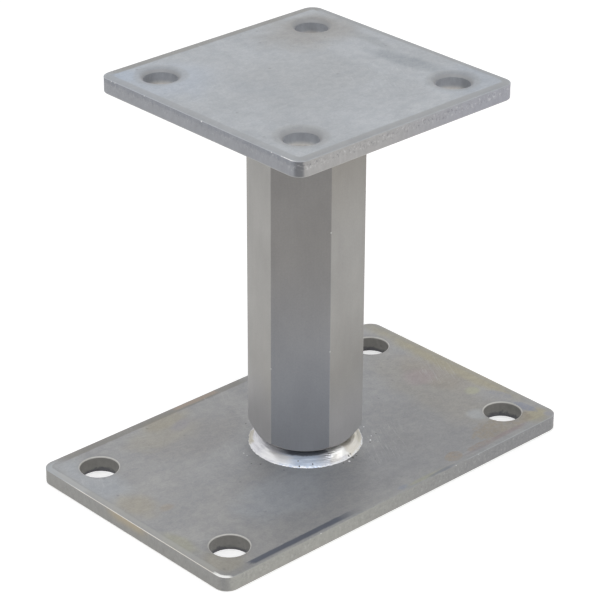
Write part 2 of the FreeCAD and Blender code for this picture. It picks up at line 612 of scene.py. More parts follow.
zincBase = {
    **zincWearAndShade,
    "tone": (0.356, 0.354, 0.354),
    "darkTone": (0.315, 0.317, 0.324),
    "metal": 0.35,
    "side": (0.378, 0.373, 0.359),
    "litSideTone": (0.406, 0.402, 0.373),
    "litSideFar": (0.293, 0.293, 0.298),
    "underRoll": 0.0,
    "frontCornerShade": 0.3,
    "flecks": 0.4,
    "holeWall": (0.25, 0.245, 0.23),
    "holeFoot": (0.12, 0.12, 0.13),
    "footBand": (0.9, 2.3, 6.0),
    # painted highlight on the hole lips
    "lipShadeAndShine": (0.68, 0.67, 0.64),
    "lipReach": (0.25, 0.5, 0.8),
    "halo": 0.2,
    "patches": [
        oval((8, 0), (52, 30), (0.319, 0.328, 0.347), 0.6),
        oval((-28, -24), (26, 15), (0.36, 0.378, 0.408), 0.75),
        oval((30, -43), (52, 8), (0.25, 0.25, 0.255), 0.55),
        oval((12, -34), (40, 15), (0.25, 0.254, 0.266), 0.7),
        oval((-30, 28), (26, 14), (0.285, 0.28, 0.28), 0.7),
        oval((42, -20), (30, 26), (0.26, 0.26, 0.265), 0.6),
        oval((-74, 30), (8, 22), (0.398, 0.421, 0.453), 0.6),
        oval((-74, 6), (7, 9), (0.37, 0.338, 0.268), 0.6, ragged=1.3),
        oval((-67.5, -2), (3.2, 2.4), (0.37, 0.319, 0.25), 0.5, ragged=1.3),
        oval((-79, -22), (4, 9), (0.352, 0.347, 0.259), 0.6, ragged=1.2),
        oval((-76, -41), (9, 8), (0.342, 0.324, 0.278), 0.8, ragged=1.0),
        oval((-38, 37), (17, 8), (0.35, 0.334, 0.296), 0.7, ragged=1.3),
        oval((-29, 44), (12, 5), (0.345, 0.32, 0.26), 0.7, ragged=1.0),
        oval((-27, 38), (6, 3), (0.305, 0.296, 0.324), 0.6, ragged=1.3, turn=20),
        oval((60, -10), (14, 34), (0.319, 0.305, 0.278), 0.6, ragged=1.1),
        oval((70, 1), (9, 17), (0.305, 0.275, 0.235), 0.55, ragged=1.1),
        oval((64, 4), (7, 6), (0.352, 0.296, 0.31), 0.55, ragged=1.2),
        oval((80, 5), (5.5, 44), (0.37, 0.342, 0.259), 0.9),
        oval((75, -45), (7, 5), (0.345, 0.32, 0.235), 0.9, ragged=0.7),
        oval((70.6, -16.6), (3.4, 3), (0.37, 0.37, 0.278), 0.75),
        oval((59, -42), (15, 6.5), (0.28, 0.247, 0.201), 0.85, ragged=1.1, crisp=True),
        oval((31, -45.5), (4.5, 3.2), (0.294, 0.253, 0.212), 0.85, crisp=True),
        oval((44, -46.5), (9, 2), (0.266, 0.231, 0.208), 0.8, ragged=1.4, crisp=True),
        oval((57, -46.8), (13, 1.1), (0.25, 0.208, 0.222), 0.7, ragged=2.0),
        oval((41, -47.6), (9, 0.8), (0.231, 0.204, 0.222), 0.7, ragged=2.0),
        oval((76.4, -38.4), (2.2, 6), (0.236, 0.253, 0.312), 0.85, ragged=1.0, turn=8, crisp=True),
        oval((76.6, -26), (2.4, 6), (0.287, 0.291, 0.324), 0.7, ragged=1.0, turn=14, crisp=True),
        oval((79, -47.4), (2.2, 2), (0.296, 0.296, 0.333), 0.8),
        oval((59, -30), (4, 4), (0.407, 0.426, 0.444), 0.6, ragged=1.2),
        oval((12, -48.6), (11, 1.1), (0.333, 0.338, 0.25), 0.7, ragged=1.0),
        oval((2.5, -48), (3, 1.3), (0.259, 0.287, 0.361), 0.7),
        oval((21, -49.2), (8, 0.7), (0.176, 0.19, 0.222), 0.8),
    ],
    "rims": [
        # painted shade on the rolled edges of the -Y and +Y sides
        strip((0, -1), (-68.5, -30), (2.5, 12), (1.1, 3.7), (0.102, 0.116, 0.153), 0.9, soft=0.7),
        strip((0, 1), (-70, 8), (8, 10), (0.0, 4.2), (0.215, 0.205, 0.185), 0.7, soft=0.8),
        strip((0, 1), (-19, -2), (3, 3), (0.5, 3.0), (0.361, 0.287, 0.231), 0.7),
        # painted light: lighter bands on the -X roll, and painted highlights along the -X and -Y
        # crests and at the front corner
        strip((-1, 0), (27, 46), (4, 4), (-0.2, 2.4), (0.481, 0.509, 0.536), 0.6),
        strip((-1, 0), (-46, 26), (6, 14), (-0.3, 0.42), (1.0, 0.97, 0.9), 0.95),
        strip((-1, 0), (-50, -45.5), (2, 3), (-0.3, 1.2), (1.0, 1.0, 0.98), 0.95, near=(78.6, 80.2)),
        strip((-1, 0), (-40, 38), (7, 8), (0.5, 2.9), (0.435, 0.43, 0.416), 0.55, soft=0.9),
        strip((0, -1), (36, 78), (6, 4), (-0.2, 0.35), (0.481, 0.509, 0.555), 0.7),
    ],
    # x, y and size of each speck
    "nicks": [
        (-70.5, -49.6, 0.36), (-72.6, -49.8, 0.25), (-39.1, -50, 0.36), (-44.2, -50, 0.3),
        (27.3, -50, 0.36), (39.0, -50, 0.3), (-57.4, -15.3, 0.25), (-82.4, -31, 0.3),
        (63.5, -49.3, 0.25),
    ],
    "soot": [
        (15.6, -17.9, 0.5), (8.6, -27.7, 0.4), (-20.6, -11.2, 0.42), (-24.0, -2.5, 0.5),
        (-26.1, 0.0, 0.42), (-1.7, -22.0, 0.45), (21.5, -15.0, 0.4), (-8.6, 22.6, 0.45),
        (3.4, -21.6, 0.6), (5.4, -21.4, 0.5),
    ],
    "warmWall": oval((-82.5, 1.0), (4, 11), (0.463, 0.389, 0.268), 0.7),
}

zincHead = {
    **zincWearAndShade,
    "tone": (0.419, 0.439, 0.466),
    "darkTone": (0.383, 0.401, 0.425),
    "metal": 0.45,
    "side": (0.396, 0.405, 0.434),
    "litSideTone": (0.434, 0.425, 0.42),
    "litSideFar": (0.372, 0.376, 0.415),
    "underRoll": 0.5,
    "frontCornerShade": 0.85,
    "flecks": 1.0,
    "holeWall": (0.34, 0.355, 0.385),
    # painted light: the foot of the head's hole walls is lightened, as if lit from below
    "holeFoot": (0.66, 0.64, 0.61),
    "footBand": (0.0, 2.2, 0.8),
    # painted shade on the hole lips
    "lipShadeAndShine": (0.33, 0.335, 0.345),
    "lipReach": (0.1, 1.7, 0.75),
    "halo": 0.3,
    "patches": [
        oval((-38, 30), (20, 18), (0.401, 0.436, 0.491), 0.8),
        oval((-44, 43), (6, 6), (0.378, 0.432, 0.513), 0.7),
        oval((40, -40), (16, 16), (0.36, 0.392, 0.441), 0.7),
        oval((36, -12), (5, 20), (0.279, 0.302, 0.329), 0.75, turn=8),
        oval((41, 10), (3, 14), (0.302, 0.32, 0.338), 0.6, turn=-6),
        oval((-2, 2), (30, 26), (0.369, 0.383, 0.401), 0.8),
        oval((30, 32), (20, 16), (0.32, 0.315, 0.31), 0.8),
        oval((-20, 6), (7, 16), (0.347, 0.369, 0.401), 0.4, turn=20),
    ],
    "rims": [
        # painted shade on all four rolled edges, then painted highlights along the -X and -Y crests
        # and at the front corner
        strip((0, 1), (-44, 48), (4, 4), (-0.3, 4.0), (0.262, 0.257, 0.244), 0.75, soft=0.7),
        strip((1, 0), (-46, 48), (4, 4), (-0.3, 2.7), (0.297, 0.306, 0.315), 0.6, soft=0.6),
        strip((-1, 0), (-46, 46), (4, 4), (0.2, 3.3), (0.333, 0.342, 0.36), 0.5, soft=0.6),
        strip((0, -1), (-46, 46), (4, 4), (0.2, 3.4), (0.306, 0.31, 0.315), 0.6, soft=0.6),
        strip((-1, 0), (-40, 44), (8, 6), (-0.3, 0.4), (0.594, 0.621, 0.666), 0.45),
        strip((0, -1), (-46, 48), (6, 6), (-0.3, 0.4), (0.54, 0.558, 0.567), 0.4),
        strip((-1, 0), (-47, -42.5), (1, 1.5), (-0.4, 0.45), (1.0, 1.0, 1.0), 0.95),
    ],
    "nicks": [
        (-50, 42.9, 0.33), (-50, 41.0, 0.36), (-50, 25.6, 0.3), (-50, -3.4, 0.45),
        (-50, -37.2, 0.36), (-48.6, -49.2, 0.35),
    ],
    "soot": [],
    "warmWall": None,
}


def rimBand(point, inset, plate, rim, wander):
    x, y, z = apart(point)
    sideX, sideY = rim["side"]
    along = x if sideY else y
    across = times(x if sideX else y, sideX or sideY)
    reach = plate["half"][0 if sideX else 1] - plate["corner"]
    near = ease(across, *(rim["near"] or (reach - 2.5, reach)))
    start, end = rim["along"]
    shifted = plus(along, times(wander, 6))
    length = between(shifted, (start - rim["fade"][0], start), (end, end + rim["fade"][1]))
    low, high = rim["inset"]
    soft = rim["soft"]
    wavy = plus(inset, times(wander, 0.9 if high > 1 else 0.1))
    width = between(wavy, (low - soft / 2, low + soft / 2), (high - soft, high))
    shoulder = plate["thickness"] - plate["roll"][1]
    top = ease(z, shoulder - 0.15, shoulder + 0.02)
    return times(length, width, near, top, rim["amount"])


def spotMarks(point, height, spots):  # small ragged spots, such as a knock or a speck of soot
    found = None
    ragged = clouds(point, 0.6, 2, 0.6, shift=61)
    for x, y, size in spots:
        away = plus(distance(point, (x, y, height)), times(ragged, 0.5))
        dot = ease(away, size * 0.8, size * 1.3 + 0.1, 1, 0)
        found = dot if found is None else largest(found, dot)
    return found


def zincTop(point, zinc, wander, finer):
    broad = ease(clouds(point, 26, 3, 0.55, shift=17, warp=0.8), 0.36, 0.66)
    colour = blend(broad, zinc["darkTone"], zinc["tone"])
    worn = ease(clouds(point, 1.8, 4, 0.65, shift=91), 0.3, 0.62, 0.35, 1)
    for spot in zinc["patches"]:
        masks = [ovalMask(point, spot, finer if spot["crisp"] else wander)]
        if spot["crisp"]:
            masks.append(worn)
        colour = stain(colour, spot["tint"], *masks)
    colour = grain(colour, 0.4, clouds(point, 0.7, 3, 0.65, shift=5), 0.22)
    drift = ease(clouds(point, 2.6, 5, 0.66, (0.8, 1, 1), 47, 0.5), 0.3, 0.7)
    dark, light, amount = zinc["drifting"]
    return blend(amount, colour, blend(drift, dark, light), "OVERLAY")


def zincSide(point, way, plate, zinc, wander, mottle):
    x, z = apart(point)[::2]
    nx, ny = apart(way)[:2]
    side = blend(mottle, zinc["side"], tuple(c * 0.72 for c in zinc["side"]))
    halfX = plate["half"][0]
    # painted light: walls facing -Y get their own tones, lighter and warmer towards -X, darker
    # towards +X
    tint = blend(ease(x, -0.5 * halfX, 0.7 * halfX), zinc["litSideTone"], zinc["litSideFar"])
    litRightSide = ease(times(ny, -1), 0.5, 0.9)
    side = stain(side, grain(tint, 0.5, mottle, 0.16), litRightSide)
    streaks = ease(clouds(point, 1.1, 3, 0.6, (1, 1, 0.12), 63), 0.35, 0.6, 0.5, 1)
    shoulder = plate["thickness"] - plate["roll"][1]
    under = times(ease(z, shoulder - 2.2, shoulder - 0.6), streaks, zinc["underRoll"])
    side = stain(side, zinc["underRollTone"], under, ease(nx, -0.9, -0.5, 1, 0))

    # dark and light flecks where the steel broke
    low, high = (plate["tear"][k] * plate["thickness"] for k in ("low", "high"))
    rougher = ease(largest(times(ny, -1), nx), -0.2, 0.8, 0.35, 1)
    torn = times(between(z, (low - 0.4, low + 0.8), (high - 0.5, high + 0.2)), rougher)
    flecks = clouds(point, 0.9, 3, 0.62, (1, 1, 0.8), 87, 0.7)
    dark, light = ease(flecks, 0.32, 0.44, 1, 0), ease(flecks, 0.56, 0.66)
    side = stain(side, zinc["darkFleck"], torn, dark, 0.6 * zinc["flecks"])
    side = stain(side, zinc["lightFleck"], torn, light, 0.5 * zinc["flecks"])
    # painted shade: the rounded corner that faces the camera is darkened, for the dark it mirrors
    frontward = times(plus(nx, ny), -0.7071)
    side = stain(side, zinc["cornerShadeTone"], ease(frontward, 0.90, 0.99, 0, zinc["frontCornerShade"]))
    # painted light: the foot of each wall is lightened, as if lit from the floor
    side = stain(side, zinc["lowEdgeLightTone"], ease(z, 0.15, 0.6, 0.5, 0))
    warm = zinc["warmWall"]
    if warm:
        raised = ease(z, 1.5, 5.0)
        side = stain(side, warm["tint"], ovalMask(point, warm, wander), raised)
    return side, times(torn, flecks)


def zincFinish(name, plate, zinc, bottom):
    finish, tree, shader = newFinish(name)
    point = vectors("SUBTRACT", pieceSpace(tree), (0, 0, bottom))
    z, way = apart(point)[2], facing(tree)
    wander = unevenness(point, 14, 3, 0.55, warp=0.6)
    finer = unevenness(point, 5, 6, 0.68, (0.55, 1, 1), 23, 0.9)
    mottle = clouds(point, 1.6, 4, 0.6, (1, 1, 0.5), 41)
    colour = zincTop(point, zinc, wander, finer)
    inset = insetFrom(point, *plate["half"], plate["corner"])
    # painted shade along the rolled edge band of the upper face
    colour = wearAndShade(colour, zinc["roll"], between(inset, (0.2, 0.9), (2.4, 3.4)))
    for rim in zinc["rims"]:
        colour = stain(colour, rim["tint"], rimBand(point, inset, plate, rim, finer))

    # walls of the plate and of its holes
    side, broken = zincSide(point, way, plate, zinc, wander, mottle)
    fromWall = minus(fromHole(point, *plate["holeReach"]), plate["holeRadius"])
    # on the head, the lighter foot of the hole walls is painted light
    footLow, footHigh, footRagged = zinc["footBand"]
    footTop = plus(z, times(finer, footRagged))
    walls = blend(ease(footTop, footLow, footHigh), zinc["holeFoot"], zinc["holeWall"])
    side = stain(side, grain(walls, 0.5, mottle, 0.2), ease(fromWall, 0.3, 1.0, 1, 0))
    flatness = ease(maths("ABSOLUTE", apart(way)[2]), 0.55, 0.9)
    colour = blend(flatness, side, colour)

    # darker round the holes, and painted tone on their drawn lips: painted shade on the head's lips,
    # a painted highlight on the base's
    lipWidth, lipDepth = plate["lip"]
    wavy = plus(fromWall, times(wander, 2))
    halo = ease(wavy, lipWidth, lipWidth + 2.2, zinc["halo"], 0)
    colour = stain(colour, zinc["haloTone"], halo, ease(z, 4.4, 5.0))
    lipNear, lipFar, lipAmount = zinc["lipReach"]
    lipFoot = plate["thickness"] - lipDepth
    lip = ease(fromWall, lipNear, lipFar, lipAmount, 0)
    colour = stain(colour, zinc["lipShadeAndShine"], lip, ease(z, lipFoot - 0.2, lipFoot + 0.15))

    # pits, scratches, soot and knocks
    pits = specks(point, 3.4, 0.07)
    colour = wearAndShade(colour, zinc["pitting"], pits)
    lines = scratches(point, 24, 0.9, 40, 0.06, 3)
    lines = maths("ADD", lines, scratches(point, -61, 0.8, 28, 0.05, 53), clamp=True)
    colour = wearAndShade(colour, zinc["scratching"], lines)
    if zinc["soot"]:
        burnt = spotMarks(point, plate["thickness"], zinc["soot"])
        colour = wearAndShade(colour, zinc["burning"], burnt)
    knocks = spotMarks(point, plate["thickness"] - plate["roll"][1], zinc["nicks"])
    colour = wearAndShade(colour, zinc["knocking"], knocks)

    gloss = plus(times(unevenness(point, 9, 4, 0.6, shift=77), 0.22), zinc["rough"])
    gloss = plus(gloss, times(minus(1, flatness), 0.06))
    fine = clouds(point, 0.5, 3, 0.6, shift=11)
    coarse = clouds(point, 2.2, 2, 0.5, shift=29)
    height = minus(blendValue(0.4, fine, coarse), times(lines, 0.35))
    height = minus(height, times(pits, 0.8))
    height = plus(height, times(broken, 3 * zinc["flecks"]))
    coat(shader, colour, zinc["metal"], gloss, height, zinc["bumpDepth"])
    return finish


buildPlate(basePlate, 0, zincFinish("zincOnBase", basePlate, zincBase, 0))
buildPlate(headPlate, underHead, zincFinish("zincOnHead", headPlate, zincHead, underHead))


# drawn hexagon sleeve, kept as the frame has it; faces and nicks are in degrees from +X
sleeveZinc = {
    "tone": (0.365, 0.355, 0.339),
    "lowTone": (0.444, 0.441, 0.448),
    # painted shade: the face that looks at the camera is given darker tones
    "shadedFaceTone": (0.283, 0.273, 0.265),
    "shadedFaceLowTone": (0.302, 0.314, 0.342),
    "shadedFace": 221.5,  # the face that looks at the camera
    # painted shade: the right face darkens and browns towards the top, under the head plate
    "underHeadShadeTone": (0.315, 0.296, 0.268),
    "underHeadShadeFace": 281.5,
    # painted shade on the chamfered ends
    "chamfer": ((0.27, 0.255, 0.235), 0.85),  # tone and strength
    "nickTone": (0.75, 0.75, 0.75),
    "metal": 0.45,
    "rough": 0.48,
    "bumpDepth": 0.02,
    "nicks": [(251.5, 52.0, 0.2), (251.5, 98.0, 0.22), (191.5, 44.0, 0.2)],
    "nickReach": 20.6,
}


def bearing(degrees, reach=1.0):
    a = radians(degrees)
    return reach * cos(a), reach * sin(a)


def sleeveFinish(look):
    finish, tree, shader = newFinish("zincOnSleeve")
    point = pieceSpace(tree)
    way = facing(tree)

    def towards(angle):
        return ease(vectors("DOT_PRODUCT", way, (*bearing(angle), 0), 1), 0.75, 0.95)

    broad = clouds(point, 16, 3, 0.55, (1, 1, 0.5), 3)
    drifting = plus(apart(point)[2], times(broad, 14))
    sides = blend(ease(drifting, 26, 50), look["lowTone"], look["tone"])
    # painted shade on the face that looks at the camera
    shadedFaceColour = blend(ease(drifting, 30, 105), look["shadedFaceLowTone"], look["shadedFaceTone"])
    colour = blend(towards(look["shadedFace"]), sides, shadedFaceColour)
    # painted shade under the head plate
    underHeadShade = ease(drifting, 96, 134, 0, 0.9)
    colour = stain(colour, look["underHeadShadeTone"], towards(look["underHeadShadeFace"]), underHeadShade)
    drawn = clouds(point, 0.8, 3, 0.6, (1, 1, 0.05), 7)
    fine = clouds(point, 0.6, 3, 0.65, shift=23)
    colour = grain(colour, 0.3, ease(broad, 0.3, 0.7), 0.1)
    colour = grain(colour, 0.08, drawn, 0.2)
    colour = grain(colour, 0.25, fine, 0.2)
    slant = maths("ABSOLUTE", apart(way)[2])
    # painted shade: the chamfers at both ends are darkened and browned
    colour = wearAndShade(colour, look["chamfer"], between(slant, (0.3, 0.5), (0.9, 0.97)))
    for angle, height, size in look["nicks"]:
        away = distance(point, (*bearing(angle, look["nickReach"]), height))
        away = plus(away, times(fine, 0.3))
        colour = stain(colour, look["nickTone"], ease(away, size, size + 0.35, 0.85, 0))
    matt = times(unevenness(point, 11, 3, 0.6, shift=71), 0.18)
    height = blendValue(0.5, fine, drawn)
    coat(shader, colour, look["metal"], plus(matt, look["rough"]), height, look["bumpDepth"])
    return finish


sleeveCoat = sleeveFinish(sleeveZinc)
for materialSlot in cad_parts["hex_sleeve"].material_slots:
    materialSlot.material = sleeveCoat
print("hex_sleeve: kept, with a drawn zinc finish")


# threaded studs, right hand below and left hand above
studThread = {
    "pitch": 3.0,
    "crest": 11.98,
    "root": 10.18,
    "crestFlat": 0.125,  # shares of the pitch
    "rootFlat": 0.22,
    "rootRise": 0.06,  # share of the depth
    "length": 65.5,
    "bevel": 2.0,
    "columns": 96,
    "rowsPerTurn": 12,
    "endRings": (0.55, 0.12),  # shares of the radius
    "tone": (0.47, 0.47, 0.46),
    "darkTone": (0.34, 0.34, 0.33),
    "metal": 1,
    "rough": (0.28, 0.42),
    "bumpDepth": 0.02,
}


def threadRadius(thread, share):
    # crest flat, straight flank, rounded root, straight flank
    depth, away = thread["crest"] - thread["root"], abs(share - 0.5) * 2
    crestEdge, rootEdge, rise = 1 - thread["crestFlat"], thread["rootFlat"], thread["rootRise"]
    if away > crestEdge:
        return thread["crest"]
    if away < rootEdge:
        return thread["root"] + depth * rise * (away / rootEdge) ** 2
    return thread["root"] + depth * (rise + (1 - rise) * (away - rootEdge) / (crestEdge - rootEdge))


def joinClose(verts, faces):
    # joins points that fell together, and drops the faces that this closes
    known, kept, link, tidy = {}, [], [], []
    for v in verts:
        mark = (round(v.x, 4), round(v.y, 4), round(v.z, 4))
        if mark not in known:
            known[mark] = len(kept)
            kept.append(v)
        link.append(known[mark])
    for face in faces:
        corners = tuple(dict.fromkeys(link[k] for k in face))
        if len(corners) > 2:
            tidy.append(corners)
    return kept, tidy, link


def buildStud(name, thread, hand, start, upward, body, stands, finish):
    verts, faces, rings = [], [], []
    pitch, length = thread["pitch"], thread["length"]
    rows, columns = thread["rowsPerTurn"], thread["columns"]
    total = (int(length / pitch) + 2) * rows
    firstTurn = 1 if hand > 0 else 0
    for c in range(columns):
        angle = 2 * pi * c / columns
        column = []
        for r in range(total + 1):
            lifted = (r / rows - firstTurn + hand * c / columns) * pitch
            z = max(0.0, min(length, lifted))
            radius = threadRadius(thread, (z / pitch - hand * c / columns) % 1.0)
            radius = min(radius, thread["crest"] - max(0.0, z - (length - thread["bevel"])))
            column.append(len(verts))
            verts.append(Vector((radius * cos(angle), radius * sin(angle), z)))
        rings.append(column)
    for c in range(columns):
        following = rings[(c + 1) % columns]
        step = hand * rows if c == columns - 1 else 0
        for r in range(total):
            low, high = (min(max(k + step, 0), total) for k in (r, r + 1))
            faces.append((rings[c][r], following[low], following[high], rings[c][r + 1]))
    verts, faces, link = joinClose(verts, faces)

    # both ends, closed by narrower and narrower rings
    for end, flip in ((0, True), (length, False)):
        ring = [link[column[0 if flip else -1]] for column in rings]
        for inner in thread["endRings"]:
            narrower = [Vector((verts[k].x * inner, verts[k].y * inner, end)) for k in ring]
            first = addRing(verts, narrower)
            newRing = list(range(first, first + columns))
            for c in range(columns):
                d = (c + 1) % columns
                quad = (ring[c], ring[d], newRing[d], newRing[c])
                faces.append(tuple(reversed(quad)) if flip else quad)
            ring = newRing
        faces.append(tuple(reversed(ring)) if flip else tuple(ring))
    setOnPlate(verts, start, upward)
    makePiece(name, verts, faces, body, stands, finish, 50)


def studFinish(look):
    finish, tree, shader = newFinish("zincOnThread")
    point = pieceSpace(tree)
    broad = clouds(point, 9, 3, 0.55, shift=3)
    fine = clouds(point, 0.5, 3, 0.6, shift=9)
    colour = grain(blend(broad, look["darkTone"], look["tone"]), 0.3, fine, 0.2)
    gloss = ease(broad, 0.3, 0.7, *look["rough"])
    coat(shader, colour, look["metal"], gloss, fine, look["bumpDepth"])
    return finish


studCoat = studFinish(studThread)
buildStud("lowerStudThread", studThread, 1, onBase, True, "base", "lower_stud", studCoat)
buildStud("upperStudThread", studThread, -1, underHead, False, "head", "upper_stud", studCoat)


# A tinted stretch of a weld ring: its direction and half its spread, both in degrees, its reach
# from the axis, its tint and its strength.
def stretch(at, half, reach, tint, amount, soft=3):
    return {"at": at, "half": half, "reach": reach, "tint": tint, "amount": amount, "soft": soft}


# weld rings; directions are in degrees from +X, distances from the stud's axis
bothWelds = {
    "ragged": 0.22,
    "height": 4.45,
    "top": 11.9,
    "inner": 10.6,
    "crown": 0.5,
    "columns": 540,
    "rows": 36,
    "toeTone": (0.88, 0.89, 0.90),
    "sootTone": (0.22, 0.21, 0.20),
    "pitTone": (0.05, 0.05, 0.055),
    "metal": 0.5,
    "rough": (0.40, 0.30),
    "bumpDepth": 0.05,
}

lowerWeld = {
    **bothWelds,
    "name": "lowerWeldRing",
    "toe": 20.75,
    "toeLean": (-95.0, 0.35),
    "lumps": [
        {"at": (-92.5, 17.8), "spread": (3.3, 2.3), "rise": 1.3, "blunt": 1.8},
        {"at": (-64.0, 18.6), "spread": (7.5, 2.6), "rise": 0.8, "blunt": 1},
        {"at": (-43.0, 17.9), "spread": (3.6, 1.7), "rise": 0.8, "blunt": 1},
        {"at": (-103.0, 15.5), "spread": (4.0, 1.5), "rise": 0.3, "blunt": 1},
    ],
    "ripples": {"at": -104.0, "half": 6.0, "pitch": 1.05, "lean": 0.571, "depth": 0.16},
    "scallop": {"at": -132, "half": 34, "pitch": 5.6, "depth": 0.3},
    "tone": (0.80, 0.80, 0.84),
    "zones": [
        stretch(-136, 24, (10, 22), (0.62, 0.71, 0.86), 0.9, soft=13),
        stretch(-70, 14, (10, 22), (0.76, 0.73, 0.66), 0.9, soft=5),
        stretch(-40, 17, (16.5, 20.6), (0.7, 0.67, 0.57), 0.85),
        stretch(137, 14, (18.8, 20.6), (0.5, 0.47, 0.39), 0.85),
        # painted shade: dark round the stud's root under the sleeve, deepest on the camera's side
        stretch(0, 360, (10, 15.3), (0.16, 0.155, 0.155), 0.85),
        stretch(-130, 32, (10, 16.9), (0.11, 0.115, 0.13), 0.85, soft=12),
        # painted highlight: a white streak on the toe at the lower left
        stretch(-167, 18, (17.4, 20.4), (1.0, 1.0, 1.0), 0.7, soft=8),
        # painted shade beside the sleeve's right edge
        stretch(-56, 20, (10, 17.6), (0.5, 0.475, 0.41), 0.7, soft=8),
        # painted highlight on the start and stop lump
        stretch(-92.5, 10, (15.7, 19.9), (1.0, 1.0, 0.98), 0.97),
        stretch(-99, 7, (19.1, 20.6), (0.66, 0.64, 0.61), 0.7),
    ],
    "pits": [
        (-140.5, 18.7, 0.22), (-125.0, 19.85, 0.25), (-138.6, 20.5, 0.28), (-83.0, 20.5, 0.3),
        (-79.5, 20.3, 0.22),
    ],
    "seenFrom": -138,
    "seed": 4.0,
}

upperWeld = {
    **bothWelds,
    "name": "upperWeldRing",
    "toe": 20.7,
    "toeLean": (60.0, 0.3),
    "lumps": [
        {"at": (60.0, 17.5), "spread": (2.8, 1.9), "rise": 0.9, "blunt": 2},
        {"at": (95.0, 18.2), "spread": (6.0, 2.4), "rise": 0.5, "blunt": 1},
    ],
    "ripples": {"at": 49.0, "half": 8.0, "pitch": 1.1, "lean": 0.5, "depth": 0.12},
    "scallop": {"at": 20, "half": 30, "pitch": 6.2, "depth": 0.25},
    "tone": (0.78, 0.78, 0.81),
    "zones": [
        stretch(15, 32, (10, 22), (0.6, 0.69, 0.82), 0.8),
        stretch(88, 18, (10, 22), (0.8, 0.77, 0.7), 0.8),
        # painted shade: dark round the stud's root under the sleeve
        stretch(0, 360, (10, 15.3), (0.16, 0.155, 0.155), 0.85),
    ],
    "pits": [(24.0, 18.9, 0.25)],
    "seenFrom": 138,
    "seed": 19.0,
}


def turnBetween(a, b):
    return (a - b + 180) % 360 - 180


def beadRise(weld, degrees, way, radius, slope, length):
    # how far the metal stands out from the straight slope, at a distance up it from the toe
    share = slope / length
    shoulders = sin(pi * share)
    spot = way * 9 + Vector((weld["seed"], 0, 0))
    rise = 4 * (weld["crown"] + 0.1 * noise.noise(spot * 0.6)) * share * (1 - share)
    rise += 0.2 * (1 - exp(-slope / 0.22)) * exp(-slope / 1.3) * shoulders ** 0.3
    for lump in weld["lumps"]:
        along = radians(turnBetween(degrees, lump["at"][0])) * radius / lump["spread"][0]
        across = (radius - lump["at"][1]) / lump["spread"][1]
        away = (along ** 2 + across ** 2) ** lump["blunt"]
        rise += lump["rise"] * exp(-away) * min(1.0, 3 * share)
    ripples = weld["ripples"]
    off = turnBetween(degrees, ripples["at"])
    phase = (ripples["lean"] * radians(off) * radius + slope) / ripples["pitch"]
    here = exp(-(off / ripples["half"]) ** 4)
    rise += ripples["depth"] * here * cos(2 * pi * phase) * shoulders
    flow = waver(way.x * 4, way.y * 4, slope * 1.5 + weld["seed"])
    return rise + 0.06 * flow * shoulders


def toeUneven(weld, degrees, spot):
    # the toe is ragged, and steps back where each lobe of metal froze
    ragged = noise.fractal(spot * 0.9, 0.7, 2.2, 4) + 0.9 * noise.noise(spot * 2.4)
    scallop = weld["scallop"]
    off = turnBetween(degrees, scallop["at"])
    step = (off / scallop["pitch"] + 0.7 * noise.noise(spot * 0.5)) % 1.0
    here = exp(-(off / scallop["half"]) ** 4)
    return weld["ragged"] * ragged + scallop["depth"] * (step - 0.5) * here


def buildBead(weld, start, upward, body, stands, finish):
    verts, faces, rings = [], [], []
    columns, rows, top = weld["columns"], weld["rows"], weld["height"]
    ways = waysRound(columns)
    leanAt, lean = weld["toeLean"]
    for row in range(rows + 1):
        share = (row / rows) ** 1.25
        ring = []
        for c, way in enumerate(ways):
            degrees = 360 * c / columns
            uneven = toeUneven(weld, degrees, way * 9 + Vector((weld["seed"], 0, 0)))
            toe = weld["toe"] + lean * cos(radians(degrees - leanAt))
            run = toe - weld["top"]
            length = hypot(run, top)
            radius = toe - run * share + uneven * max(0.0, 1 - 5 * share) ** 2
            rise = 0.0
            if 0 < row < rows:
                rise = beadRise(weld, degrees, way, radius, share * length, length)
            radius += rise * top / length
            ring.append(way * radius + Vector((0, 0, min(top, top * share + rise * run / length))))
        rings.append(addRing(verts, ring))
    for height in (top, 0):
        rings.append(addRing(verts, [way * weld["inner"] + Vector((0, 0, height)) for way in ways]))
    for k, ring in enumerate(rings):
        joinRings(faces, ring, rings[(k + 1) % len(rings)], columns)
    setOnPlate(verts, start, upward)
    makePiece(weld["name"], verts, faces, body, stands, finish, 60)


